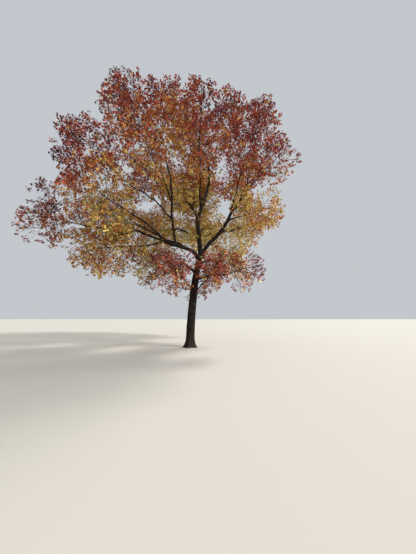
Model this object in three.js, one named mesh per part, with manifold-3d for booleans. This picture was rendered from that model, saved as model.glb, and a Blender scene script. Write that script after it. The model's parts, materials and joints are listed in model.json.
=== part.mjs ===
// An open-grown maple in its autumn colours, at its real size: millimetres, +Z up, +X to the right and +Y
// away from the side that it is usually seen from. The origin is the middle of the flat cut under the trunk,
// at ground level.
//
// The trunk and the boughs are tapering tubes. Each mass of foliage fills a ball at the end of one bough, cut
// flat where the next ball begins, and is one solid: a stem with opposite twigs on it, and flat leaves on the
// twigs. A leaf is larger than life, because each stands for a whole spray.
import * as THREE from "three";
import { mergeVertices } from "three/addons/utils/BufferGeometryUtils.js";
import Module from "manifold-3d";

const wasm = await Module();
wasm.setup();

const METRE = 1000;
const GAP = 0.3; // left between a limb and what it grows from
const MERGED = 1e-3; // points of a geometry that are nearer than this are one
const CROSSED = 1; // solids that share more than this, in cubic millimetres, cross
const UP = new THREE.Vector3(0, 0, 1);
const FRAME_STEPS = 200; // along a curve, at which its frame is worked out

// The middle of the trunk, in metres, from below the ground to the fork. It is cut off flat at the ground.
const TRUNK_LINE = [
  [0, 0, -0.15],
  [0.01, 0, 0.6],
  [0.04, 0, 1.5],
  [0.13, 0, 2.65],
  [0.23, 0, 3.6],
  [0.36, 0, 4.4],
  [0.58, 0, 5.3],
];
const TRUNK_RADIUS = 0.23 * METRE; // above the flare
const FORK_RADIUS = 0.175 * METRE;
const FLARE = 0.15 * METRE; // how much wider the foot is, each side
const FLARE_HEIGHT = 0.2 * METRE; // over which most of the flare is gone
const TAPER_POWER = 1.5; // above 1, the trunk thins more towards the fork
const BUTTRESSES = 5;
const BUTTRESS_DEPTH = 0.17; // of the radius, at the ground
const TRUNK_SIDES = 15;
const TRUNK_RINGS = 12;
const TRUNK_CROWDING = 1.6; // draws the rings together towards the foot
const BELOW_SIZE = 4 * METRE; // of the block that cuts the trunk off at the ground

const BOUGH_SIDES = 6;
const BOUGH_STEP = 1.2 * METRE; // between a bough's rings
const LEAST_RINGS = 3;
const BOUGH_TAPER = 0.42; // tip radius as a share of the base radius

// The main limbs, whose bends are seen between the leaves: where each springs from its parent, as a share of
// the parent's length, then the points that it passes and its radii at the base and at the tip, in metres.
const MAIN_LIMBS = [
  {
    name: "leader_lower",
    parent: "trunk",
    at: 0.985,
    line: [[0.42, -0.05, 6.05], [0.36, -0.1, 7.05], [0.47, -0.1, 7.73], [0.71, -0.1, 8.52]],
    radii: [0.15, 0.105],
  },
  {
    name: "leader_upper",
    parent: "leader_lower",
    at: 0.99,
    line: [[0.95, -0.15, 9.4], [1.07, -0.2, 10.1], [0.95, -0.3, 11.0], [0.55, -0.1, 12.1], [0.2, 0.3, 13.0]],
    radii: [0.1, 0.028],
  },
  {
    name: "left_limb",
    parent: "trunk",
    at: 0.93,
    line: [[0.02, -0.28, 5.36], [-0.55, -0.6, 5.5], [-1.1, -0.8, 5.55]],
    radii: [0.115, 0.09],
  },
  {
    name: "left_riser",
    parent: "left_limb",
    at: 0.86,
    line: [[-0.95, -0.9, 6.3], [-1.02, -1.07, 7.08], [-0.99, -1.3, 8.0], [-1.2, -1.6, 9.5], [-1.5, -1.8, 10.4]],
    radii: [0.07, 0.042],
  },
  {
    name: "right_limb",
    parent: "trunk",
    at: 0.955,
    line: [[0.95, -0.08, 5.8], [1.5, -0.2, 6.32], [2.0, -0.3, 6.98], [2.35, -0.4, 7.66]],
    radii: [0.12, 0.085],
  },
  {
    name: "right_riser",
    parent: "right_limb",
    at: 0.985,
    line: [[2.85, -0.5, 8.33], [3.35, -0.6, 9.07]],
    radii: [0.08, 0.06],
  },
];

// The masses of foliage. The columns are: name; bearing, the side of the trunk that it is on, in degrees from
// +X towards +Y; how far out and how high its ball's centre is, and the ball's radius, in metres; the parent
// that its bough springs from, the share of the parent's length where it does, and the bough's radius there,
// in metres; and how far its twigs bend up, or down where negative. A mass at 1 has no bough of its own: it
// grows from its parent's tip.
const MASSES = [
  ["low_left", 230, 1.2, 4.15, 1.3, "trunk", 0.57, 0.055, -0.3],
  ["low_right", 328, 1.5, 4.2, 1.25, "trunk", 0.51, 0.05, -0.25],
  ["low_far_right", 344, 2.95, 4.1, 1.2, "trunk", 0.68, 0.065, -0.1],
  ["low_back_left", 133, 3.8, 5.6, 2.15, "trunk", 0.77, 0.08, -0.1],
  ["low_back_right", 50, 3.7, 5.6, 2.0, "trunk", 0.84, 0.08, -0.1],
  ["left_low", 191, 4.65, 5.4, 1.9, "left_limb", 0.7, 0.065, -0.15],
  ["left_far", 190, 6.75, 6.75, 2.35, "left_limb", 0.96, 0.075, 0],
  ["left_front", 217, 4.9, 7.3, 1.9, "left_limb", 0.98, 0.065, 0],
  ["left_back", 161, 6.1, 8.6, 2.2, "left_limb", 0.55, 0.08, 0.1],
  ["back_left", 129, 5.0, 8.6, 2.5, "leader_lower", 0.22, 0.085, 0.05],
  ["back", 84, 4.7, 8.6, 2.5, "leader_lower", 0.34, 0.085, 0.05],
  ["back_right", 36, 4.9, 8.4, 2.3, "right_limb", 0.5, 0.075, 0.05],
  ["right_low", 350, 3.8, 7.6, 1.55, "right_limb", 0.82, 0.06, 0],
  ["left_upper", 202, 5.5, 10.2, 2.0, "left_riser", 0.28, 0.05, 0.1],
  ["front_left", 241, 4.2, 9.8, 2.1, "left_riser", 0.45, 0.045, 0.15],
  ["front", 280, 3.6, 9.8, 2.05, "leader_lower", 0.78, 0.06, 0.2],
  ["front_right", 317, 4.1, 10.0, 1.85, "right_limb", 0.93, 0.055, 0.15],
  ["right_upper", 351, 4.7, 10.6, 1.7, "right_riser", 0.99, 0.058, 0.1],
  ["right_back_upper", 36, 4.1, 11.3, 2.4, "right_riser", 0.6, 0.055, 0.15],
  ["back_upper", 93, 3.3, 11.9, 2.6, "leader_lower", 0.9, 0.065, 0.2],
  ["back_left_upper", 145, 4.1, 12.0, 2.5, "leader_lower", 0.58, 0.07, 0.15],
  ["inner_left", 100, 1.3, 10.5, 2.5, "leader_lower", 0.5, 0.05, 0.1],
  ["top_left", 201, 3.8, 13.5, 2.0, "left_riser", 0.99, 0.04, 0.25],
  ["top_front", 240, 2.1, 12.7, 2.0, "leader_upper", 0.55, 0.05, 0.3],
  ["top", 110, 0.9, 13.75, 2.1, "leader_upper", 1, 0, 0.3],
  ["top_right", 322, 2.3, 12.8, 1.7, "leader_upper", 0.75, 0.048, 0.3],
  ["top_far_right", 350, 4.1, 13.4, 1.55, "right_riser", 0.8, 0.045, 0.25],
];
const ENTRY = 0.5; // how far from its centre, in radii, a bough enters a mass
const RISE = 0.35; // how strongly a bough climbs and follows its parent as it leaves it

// The twigs and leaves of a mass. The stem and each twig end in a leaf, and a twig has two more leaves besides.
const STEM_SIDES = 4;
const STEM_SHARE = 0.97; // of the way to the far side of the mass, its end leaf included
const STEM_TAPER = 0.5;
const TWIG_SIDES = 3;
const TWIG_PAIRS = 4;
const TWIG_ZONE = [0.07, 0.62]; // of the stem, that the pairs of twigs are on
const TWIG_ANGLE = [78, 40]; // between twig and stem, from the stem's foot to its tip, in degrees
const TWIG_SHARE = [0.84, 0.97]; // of the way to the side of the mass, the least and the most
const TWIG_LENGTH = [0.75 * METRE, 2.3 * METRE]; // a shorter one is left out, and a longer one cut to this
const TWIG_RADIUS = [0.6, 0.42]; // of the stem's radius where it grows, at its foot and at its leaf
const TURN_WAVER = 0.14; // how far a pair of twigs strays from being crossways to the last, in half turns
// A twig's two other leaves: where each sits on it, and the face it grows from, in degrees round the twig
const SIDE_LEAVES = [
  { at: 0.28, face: 60 },
  { at: 0.46, face: 300 },
];
const LEAF_ANGLE = [50, 70]; // between leaf and twig, in degrees
const LEAF_LENGTH = [0.62 * METRE, 0.92 * METRE];
const LEAST_LEAF = 0.36 * METRE; // a shorter one is left out
const END_LEAF_MOST = 0.55; // of its twig's length
const LEAF_WIDTH = 0.75; // of its length
const LEAF_THICKNESS = 0.024; // of its length
const LEAF_SHOULDER = 0.58; // where it is widest, as a share of its length
const LEAF_SINK = 0.15; // of its root past the middle of its twig, of the twig's radius
const LEAF_ROLL = 50; // most that it is turned about its own length, in degrees
const LEAF_TRIES = 4;
const CLEAR = 4; // from the side of the mass's own space

// The tints: scarlet near the ground, crimson at the top and the outer edge, gold low down, russet between
const SCARLET_BELOW = 4.5; // metres high
const CRIMSON_ABOVE = 12;
const CRIMSON_BEYOND = 5.5; // metres out
const GOLD_BELOW = 8.7;

// What each number that is drawn from a seed is for. A counted use has the numbers after its own, too.
const USE = { turn: 1, reach: 2, length: 3, angle: 4, roll: 5, waver: 10, twig: 20, leaf: 30, attempt: 40 };

// A new seed, the same each time, from a seed and a use.
function scramble(seed, use) {
  let h = (seed ^ Math.imul(use + 1, 0x9e3779b1)) >>> 0;
  h = Math.imul(h ^ (h >>> 16), 0x7feb352d);
  h = Math.imul(h ^ (h >>> 15), 0x846ca68b);
  return (h ^ (h >>> 16)) >>> 0;
}

// A number from 0 to 1 for a seed and a use.
function chance(seed, use) {
  return scramble(seed, use) / 2 ** 32;
}

function between([low, high], share) {
  return low + (high - low) * share;
}

function metres([x, y, z]) {
  return new THREE.Vector3(x, y, z).multiplyScalar(METRE);
}

// A direction at an angle to another, turned towards side, which is at right angles to it.
function turned(direction, side, degrees) {
  const angle = THREE.MathUtils.degToRad(degrees);
  return direction.clone().multiplyScalar(Math.cos(angle)).addScaledVector(side, Math.sin(angle));
}

// A level unit vector at right angles to a direction.
function sideOf(direction) {
  const side = new THREE.Vector3().crossVectors(direction, UP);
  return side.lengthSq() > 1e-4 ? side.normalize() : side.set(1, 0, 0);
}

// A closed geometry as a solid, with its shared vertices merged.
function solidOf(geometry) {
  geometry.deleteAttribute("normal");
  geometry.deleteAttribute("uv");
  const merged = mergeVertices(geometry, MERGED);
  return new wasm.Manifold(
    new wasm.Mesh({
      numProp: 3,
      vertProperties: merged.attributes.position.array,
      triVerts: new Uint32Array(merged.index.array),
    }),
  );
}

// A cylinder bent along a curve, or a cone if it is pointed. Its rings are moved to the stations, which are
// shares of the curve's length. sizeAt gives the two half-sizes of a ring at an angle: the first is measured
// along side, if that is given. grow is added to them and to both ends.
function tube(curve, stations, sides, sizeAt, { side = null, pointed = false, grow = 0 } = {}) {
  const rings = stations.length - 1;
  const geometry = new THREE.CylinderGeometry(pointed ? 0 : 1, 1, 1, sides, rings);
  const frames = curve.computeFrenetFrames(FRAME_STEPS, false);
  const position = geometry.attributes.position;
  for (let i = 0; i < position.count; i++) {
    const ring = Math.round((position.getY(i) + 0.5) * rings);
    const share = stations[ring];
    const angle = Math.atan2(position.getX(i), position.getZ(i));
    const onAxis = Math.hypot(position.getX(i), position.getZ(i)) < 1e-6;
    const [wide, deep] = onAxis ? [0, 0] : sizeAt(ring, angle).map((size) => size + grow);
    const tangent = curve.getTangentAt(share);
    const across = side ?? frames.normals[Math.round(share * FRAME_STEPS)];
    const point = curve
      .getPointAt(share)
      .addScaledVector(across, wide * Math.sin(angle))
      .addScaledVector(new THREE.Vector3().crossVectors(across, tangent), deep * Math.cos(angle))
      .addScaledVector(tangent, ring === 0 ? -grow : ring === rings ? grow : 0);
    position.setXYZ(i, point.x, point.y, point.z);
  }
  return solidOf(geometry);
}

// The same, round, with its radius given for a share and an angle.
function roundTube(curve, stations, sides, radiusAt, grow = 0) {
  const sizeAt = (ring, angle) => [radiusAt(stations[ring], angle), radiusAt(stations[ring], angle)];
  return tube(curve, stations, sides, sizeAt, { grow });
}

function evenStations(count) {
  return Array.from({ length: count + 1 }, (_, i) => i / count);
}

// The trunk's radius, with its flare and buttresses at the foot.
function trunkRadius(curve) {
  return (share, angle) => {
    const flared = Math.exp(-Math.max(0, curve.getPointAt(share).z) / FLARE_HEIGHT);
    const plain = between([TRUNK_RADIUS, FORK_RADIUS], share ** TAPER_POWER) + FLARE * flared;
    return plain * (1 + BUTTRESS_DEPTH * flared * Math.cos(BUTTRESSES * angle));
  };
}

function makeTrunk() {
  const curve = new THREE.CatmullRomCurve3(TRUNK_LINE.map(metres));
  const radiusAt = trunkRadius(curve);
  const stations = evenStations(TRUNK_RINGS).map((share) => share ** TRUNK_CROWDING);
  const below = new THREE.BoxGeometry(BELOW_SIZE, BELOW_SIZE, BELOW_SIZE).translate(0, 0, -BELOW_SIZE / 2);
  return {
    name: "trunk",
    curve,
    radiusAt,
    solid: roundTube(curve, stations, TRUNK_SIDES, radiusAt).subtract(solidOf(below)),
    fat: roundTube(curve, stations, TRUNK_SIDES, radiusAt, GAP),
  };
}

// A tapering limb along a curve, clear of every limb made before it.
function makeLimb(name, curve, radii, limbs) {
  const radiusAt = (share) => between(radii, share);
  const stations = evenStations(Math.max(LEAST_RINGS, Math.round(curve.getLength() / BOUGH_STEP)));
  let solid = roundTube(curve, stations, BOUGH_SIDES, radiusAt);
  for (const other of limbs) solid = solid.subtract(other.fat);
  const fat = roundTube(curve, stations, BOUGH_SIDES, radiusAt, GAP);
  return { name, curve, radiusAt, solid: largest(solid), fat };
}

// The largest of a solid's separate pieces.
function largest(solid) {
  const pieces = solid.decompose();
  return pieces.reduce((best, piece) => (piece.volume() > best.volume() ? piece : best));
}

function limbNamed(limbs, name) {
  return limbs.find((limb) => limb.name === name);
}

// A main limb, from inside its parent through the points of its line.
function makeMainLimb({ name, parent, at, line, radii }, limbs) {
  const start = limbNamed(limbs, parent).curve.getPointAt(at);
  const curve = new THREE.CatmullRomCurve3([start, ...line.map(metres)]);
  return makeLimb(name, curve, radii.map((radius) => radius * METRE), limbs);
}

// A mass from its row of the table, with its ball's centre and radius and a seed of its own.
function placed([name, bearing, out, height, radius, parent, at, girth, lift], index) {
  const angle = THREE.MathUtils.degToRad(bearing);
  const centre = metres([out * Math.cos(angle), out * Math.sin(angle), height]);
  const seed = scramble(index, 0);
  return { name, centre, radius: radius * METRE, parent, at, girth: girth * METRE, lift, seed };
}

// A mass's own bough: it climbs out of its parent, then bends over to enter the ball on the near side.
function makeBough(mass, limbs) {
  const parent = limbNamed(limbs, mass.parent).curve;
  const start = parent.getPointAt(mass.at);
  const way = mass.centre.clone().sub(start);
  const heading = way.clone().normalize();
  const leaving = heading.clone().addScaledVector(UP, RISE);
  leaving.addScaledVector(parent.getTangentAt(mass.at), RISE).normalize();
  const tip = mass.centre.clone().addScaledVector(heading, -ENTRY * mass.radius);
  const third = start.distanceTo(tip) / 3;
  const curve = new THREE.CubicBezierCurve3(
    start,
    start.clone().addScaledVector(leaving, third),
    tip.clone().addScaledVector(heading, -third),
    tip,
  );
  return makeLimb("bough_" + mass.name, curve, [mass.girth, mass.girth * BOUGH_TAPER], limbs);
}

// How far a point is inside a mass's own space: its ball, cut by the flat side that it shares with each other.
function depthIn(mass, masses, point) {
  const own = point.distanceToSquared(mass.centre) - mass.radius ** 2;
  let depth = mass.radius - point.distanceTo(mass.centre);
  for (const other of masses) {
    if (other === mass) continue;
    const theirs = point.distanceToSquared(other.centre) - other.radius ** 2;
    depth = Math.min(depth, (theirs - own) / (2 * mass.centre.distanceTo(other.centre)));
  }
  return depth;
}

// How far it is from a point, in a direction, to the side of the mass's own space.
function reachIn(mass, masses, point, direction) {
  const from = point.clone().sub(mass.centre);
  const along = from.dot(direction);
  let reach = -along + Math.sqrt(Math.max(0, along ** 2 - from.lengthSq() + mass.radius ** 2));
  for (const other of masses) {
    if (other === mass) continue;
    const across = other.centre.clone().sub(mass.centre).normalize();
    const closing = direction.dot(across);
    if (closing <= 0) continue;
    const own = point.distanceToSquared(mass.centre) - mass.radius ** 2;
    const theirs = point.distanceToSquared(other.centre) - other.radius ** 2;
    reach = Math.min(reach, (theirs - own) / (2 * mass.centre.distanceTo(other.centre)) / closing);
  }
  return Math.max(0, reach);
}

// The curve of a twig or leaf from a point, bent up or down by lift.
function twigCurve(start, direction, length, lift) {
  const middle = start.clone().addScaledVector(direction, length / 2);
  const end = start.clone().addScaledVector(direction, length).addScaledVector(UP, (lift * length) / 4);
  return new THREE.QuadraticBezierCurve3(start, middle, end);
}

// The two half-sizes of a ring with three or four corners, where a leaf is widest.
function bladeSize(leafLength, corners) {
  const outermost = corners === 3 ? Math.sin((2 * Math.PI) / 3) : 1; // of a ring of size 1, to the side
  const depth = corners === 3 ? 1.5 : 2; // of a ring of size 1, from its lowest corner to its highest
  return [(LEAF_WIDTH * leafLength) / 2 / outermost, (LEAF_THICKNESS * leafLength) / depth];
}

// A tube along a curve, from the first radius at its foot to the second where its end leaf begins. The leaf is
// flat along side, and leafLength of the curve's length is leaf.
function leafyTube(curve, sides, radii, leafLength, side) {
  const length = curve.getLength();
  const foot = 1 - leafLength / length;
  const stations = [0, foot, foot + (LEAF_SHOULDER * leafLength) / length, 1];
  const sizes = [[radii[0], radii[0]], [radii[1], radii[1]], bladeSize(leafLength, sides), [0, 0]];
  return tube(curve, stations, sides, (ring) => sizes[ring], { side, pointed: true });
}

// A leaf on its own, of six faces: both ends are points, and the root is sunk past the middle of its twig.
function leafBlade(curve, sink, side) {
  const [wide, deep] = bladeSize(curve.getLength(), TWIG_SIDES);
  const geometry = new THREE.SphereGeometry(1, TWIG_SIDES, 2);
  const position = geometry.attributes.position;
  for (let i = 0; i < position.count; i++) {
    const along = position.getY(i);
    const share = Math.abs(along) > 0.5 ? (along + 1) / 2 : LEAF_SHOULDER;
    const tangent = curve.getTangentAt(share);
    const point = curve
      .getPointAt(share)
      .addScaledVector(tangent, along < -0.5 ? -sink : 0)
      .addScaledVector(side, position.getZ(i) * wide)
      .addScaledVector(new THREE.Vector3().crossVectors(tangent, side), position.getX(i) * deep);
    position.setXYZ(i, point.x, point.y, point.z);
  }
  return solidOf(geometry);
}

// Whether the end and both shoulders of the leaf that ends a curve are inside the mass's own space.
function leafFits(mass, masses, curve, leafLength, side) {
  const shoulder = curve.getPointAt(1 - ((1 - LEAF_SHOULDER) * leafLength) / curve.getLength());
  const half = (LEAF_WIDTH * leafLength) / 2;
  const corners = [-half, half].map((out) => shoulder.clone().addScaledVector(side, out));
  return [...corners, curve.getPointAt(1)].every((corner) => depthIn(mass, masses, corner) > CLEAR);
}

// The level direction across a curve's end, rolled by up to LEAF_ROLL either way.
function leafSide(curve, seed) {
  const tangent = curve.getTangentAt(1);
  const roll = THREE.MathUtils.degToRad(LEAF_ROLL * (2 * chance(seed, USE.roll) - 1));
  return sideOf(tangent).applyAxisAngle(tangent, roll);
}

// The twigs and leaves of one mass, grown from the tip of its bough and fused into one solid.
function makeMass(mass, masses, bough, limbsTogether) {
  const grown = []; // each with its solid, and the pair and the twig that it belongs to
  const meets = (a, b) => a.intersect(b).volume() > CROSSED;
  const crosses = (solid, isOther) =>
    meets(solid, limbsTogether) || grown.some((other) => isOther(other) && meets(solid, other.solid));

  const heading = bough.curve.getTangentAt(1);
  const foot = bough.curve.getPointAt(1).addScaledVector(heading, GAP);
  const long = STEM_SHARE * reachIn(mass, masses, foot, heading);
  const stem = twigCurve(foot, heading, long, 0);
  const radii = [bough.radiusAt(1), bough.radiusAt(1) * STEM_TAPER];
  const endLeaf = Math.min(END_LEAF_MOST * long, LEAF_LENGTH[1]);
  const solid = leafyTube(stem, STEM_SIDES, radii, endLeaf, leafSide(stem, mass.seed));
  grown.push({ solid, pair: -1, twig: -1 });

  for (let pair = 0; pair < TWIG_PAIRS; pair++) {
    const step = pair / (TWIG_PAIRS - 1);
    const share = between(TWIG_ZONE, step);
    const along = stem.getTangentAt(share);
    const waver = TURN_WAVER * (chance(mass.seed, USE.waver + pair) - 0.5);
    const turn = (chance(mass.seed, USE.turn) + pair / 2 + waver) * Math.PI;
    const out = sideOf(along).applyAxisAngle(along, turn);
    for (const way of [1, -1]) {
      const twig = way > 0 ? 2 * pair + 1 : 2 * pair;
      growTwig(mass, masses, grown, crosses, {
        pair,
        twig,
        start: stem.getPointAt(share),
        direction: turned(along, out.clone().multiplyScalar(way), between(TWIG_ANGLE, step)),
        radii: TWIG_RADIUS.map((part) => part * between(radii, share)),
        seed: scramble(mass.seed, USE.twig + twig),
      });
    }
  }
  return largest(wasm.Manifold.union(grown.map((one) => one.solid)));
}

// One twig with its leaves, added to what has grown already.
function growTwig(mass, masses, grown, crosses, { pair, twig, start, direction, radii, seed }) {
  const reach = reachIn(mass, masses, start, direction);
  const length = Math.min(TWIG_LENGTH[1], reach * between(TWIG_SHARE, chance(seed, USE.reach)));
  if (length < TWIG_LENGTH[0]) return;
  const curve = twigCurve(start, direction, length, mass.lift);
  const endLeaf = Math.min(END_LEAF_MOST * length, between(LEAF_LENGTH, chance(seed, USE.length)));
  const made = firstThatFits(seed, (attempt) => {
    const side = leafSide(curve, attempt);
    if (!leafFits(mass, masses, curve, endLeaf, side)) return null;
    const solid = leafyTube(curve, TWIG_SIDES, radii, endLeaf, side);
    return crosses(solid, (other) => other.pair !== pair && other.twig >= 0) ? null : { solid, side };
  });
  if (!made) return;
  grown.push({ solid: made.solid, pair, twig });

  SIDE_LEAVES.forEach(({ at, face }, row) => {
    const root = curve.getPointAt(at);
    const tangent = curve.getTangentAt(at);
    const top = new THREE.Vector3().crossVectors(made.side, tangent).normalize();
    const out = turned(top, made.side, face);
    const solid = firstThatFits(scramble(seed, USE.leaf + row), (attempt) => {
      const heading = turned(tangent, out, between(LEAF_ANGLE, chance(attempt, USE.angle)));
      const room = reachIn(mass, masses, root, heading) - CLEAR;
      const long = Math.min(between(LEAF_LENGTH, chance(attempt, USE.length)), room);
      if (long < LEAST_LEAF) return null;
      const own = twigCurve(root, heading, long, mass.lift);
      const side = leafSide(own, attempt);
      if (!leafFits(mass, masses, own, long, side)) return null;
      const blade = leafBlade(own, LEAF_SINK * between(radii, at), side);
      return crosses(blade, (other) => other.twig !== twig) ? null : blade;
    });
    if (solid) grown.push({ solid, pair, twig });
  });
}

// What the first of a few tries makes, or null. Each try is given a seed of its own.
function firstThatFits(seed, make) {
  for (let attempt = 0; attempt < LEAF_TRIES; attempt++) {
    const made = make(scramble(seed, USE.attempt + attempt));
    if (made) return made;
  }
  return null;
}

// A solid as a mesh with its name and material.
function meshOf(name, solid, material) {
  const { vertProperties, triVerts, numProp } = solid.getMesh();
  const corners = new Float32Array((vertProperties.length / numProp) * 3);
  for (let i = 0; i < corners.length / 3; i++) {
    corners.set(vertProperties.subarray(i * numProp, i * numProp + 3), i * 3);
  }
  const geometry = new THREE.BufferGeometry();
  geometry.setAttribute("position", new THREE.BufferAttribute(corners, 3));
  geometry.setIndex(new THREE.BufferAttribute(triVerts, 1));
  geometry.computeVertexNormals();
  const mesh = new THREE.Mesh(geometry, material);
  mesh.name = name;
  return mesh;
}

function tintOf({ centre }) {
  const height = centre.z / METRE;
  if (height < SCARLET_BELOW) return "scarlet";
  if (height > CRIMSON_ABOVE || Math.hypot(centre.x, centre.y) / METRE > CRIMSON_BEYOND) return "crimson";
  return height < GOLD_BELOW ? "gold" : "russet";
}

const BARK = new THREE.MeshStandardMaterial({ color: "#4a3a30", roughness: 0.95, metalness: 0 });
const TINTS = {
  scarlet: new THREE.MeshStandardMaterial({ color: "#a83a22", roughness: 0.7, metalness: 0 }),
  crimson: new THREE.MeshStandardMaterial({ color: "#8e3326", roughness: 0.7, metalness: 0 }),
  russet: new THREE.MeshStandardMaterial({ color: "#a5582a", roughness: 0.7, metalness: 0 }),
  gold: new THREE.MeshStandardMaterial({ color: "#b98a2f", roughness: 0.7, metalness: 0 }),
};

const masses = MASSES.map(placed);
const limbs = [makeTrunk()];
for (const row of MAIN_LIMBS) limbs.push(makeMainLimb(row, limbs));
for (const mass of masses) if (mass.at < 1) limbs.push(makeBough(mass, limbs));
const limbsTogether = wasm.Manifold.union(limbs.map((limb) => limb.fat));

const tree = new THREE.Group();
tree.name = "maple_tree";
for (const limb of limbs) tree.add(meshOf(limb.name, limb.solid, BARK));
for (const mass of masses) {
  const bough = limbNamed(limbs, mass.at < 1 ? "bough_" + mass.name : mass.parent);
  const solid = makeMass(mass, masses, bough, limbsTogether);
  tree.add(meshOf("foliage_" + mass.name, solid, TINTS[tintOf(mass)]));
}

export default tree;
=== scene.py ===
import json
import math
from collections import namedtuple
from types import SimpleNamespace

import bpy
import numpy as np
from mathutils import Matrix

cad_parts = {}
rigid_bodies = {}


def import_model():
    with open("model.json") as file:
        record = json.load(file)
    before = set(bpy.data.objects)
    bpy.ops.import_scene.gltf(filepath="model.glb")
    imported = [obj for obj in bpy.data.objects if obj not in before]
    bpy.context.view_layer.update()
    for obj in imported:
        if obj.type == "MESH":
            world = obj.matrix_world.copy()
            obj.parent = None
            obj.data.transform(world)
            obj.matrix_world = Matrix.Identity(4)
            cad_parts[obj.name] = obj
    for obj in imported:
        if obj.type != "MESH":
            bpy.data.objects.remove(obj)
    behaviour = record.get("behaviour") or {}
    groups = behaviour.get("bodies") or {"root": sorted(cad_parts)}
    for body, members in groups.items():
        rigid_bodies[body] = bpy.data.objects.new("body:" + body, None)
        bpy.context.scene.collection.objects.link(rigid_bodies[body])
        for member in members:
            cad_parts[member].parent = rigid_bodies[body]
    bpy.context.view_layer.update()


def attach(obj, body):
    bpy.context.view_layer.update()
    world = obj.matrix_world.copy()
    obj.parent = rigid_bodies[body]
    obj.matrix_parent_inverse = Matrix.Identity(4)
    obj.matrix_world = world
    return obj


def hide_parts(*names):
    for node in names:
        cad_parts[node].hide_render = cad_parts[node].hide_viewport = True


# An open-grown maple in its autumn colours, in metres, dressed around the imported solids. The boughs' curves,
# the masses of foliage and the rule that their twigs grow by are the source's, written again here. The same
# rule is then carried on: a twig bears finer twigs in opposite, crossed pairs, and the finest bear leaves.
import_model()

BODY = "root"
UP = np.array([0.0, 0.0, 1.0])

# The trunk, as in the source, from below the ground to the fork
TRUNK_LINE = [
    [0, 0, -0.15], [0.01, 0, 0.6], [0.04, 0, 1.5], [0.13, 0, 2.65], [0.23, 0, 3.6], [0.36, 0, 4.4],
    [0.58, 0, 5.3],
]
TRUNK_RADIUS = 0.23  # above the flare
FORK_RADIUS = 0.175
FLARE = 0.15  # how much wider the foot is, each side
FLARE_HEIGHT = 0.2  # over which most of the flare is gone
TAPER_POWER = 1.5  # above 1, the trunk thins more towards the fork
BUTTRESSES = 5
BUTTRESS_DEPTH = 0.17  # of the radius, at the ground
BOUGH_TAPER = 0.42  # tip radius as a share of the base radius

# The main limbs, as in the source: name, parent, share of the parent's length where it springs, points that
# it passes, radii at base and tip
MAIN_LIMBS = [
    ("leader_lower", "trunk", 0.985,
     [[0.42, -0.05, 6.05], [0.36, -0.1, 7.05], [0.47, -0.1, 7.73], [0.71, -0.1, 8.52]], [0.15, 0.105]),
    ("leader_upper", "leader_lower", 0.99,
     [[0.95, -0.15, 9.4], [1.07, -0.2, 10.1], [0.95, -0.3, 11.0], [0.55, -0.1, 12.1], [0.2, 0.3, 13.0]],
     [0.1, 0.028]),
    ("left_limb", "trunk", 0.93,
     [[0.02, -0.28, 5.36], [-0.55, -0.6, 5.5], [-1.1, -0.8, 5.55]], [0.115, 0.09]),
    ("left_riser", "left_limb", 0.86,
     [[-0.95, -0.9, 6.3], [-1.02, -1.07, 7.08], [-0.99, -1.3, 8.0], [-1.2, -1.6, 9.5], [-1.5, -1.8, 10.4]],
     [0.07, 0.042]),
    ("right_limb", "trunk", 0.955,
     [[0.95, -0.08, 5.8], [1.5, -0.2, 6.32], [2.0, -0.3, 6.98], [2.35, -0.4, 7.66]], [0.12, 0.085]),
    ("right_riser", "right_limb", 0.985, [[2.85, -0.5, 8.33], [3.35, -0.6, 9.07]], [0.08, 0.06]),
]
MAIN_NAMES = [limb[0] for limb in MAIN_LIMBS]

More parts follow.
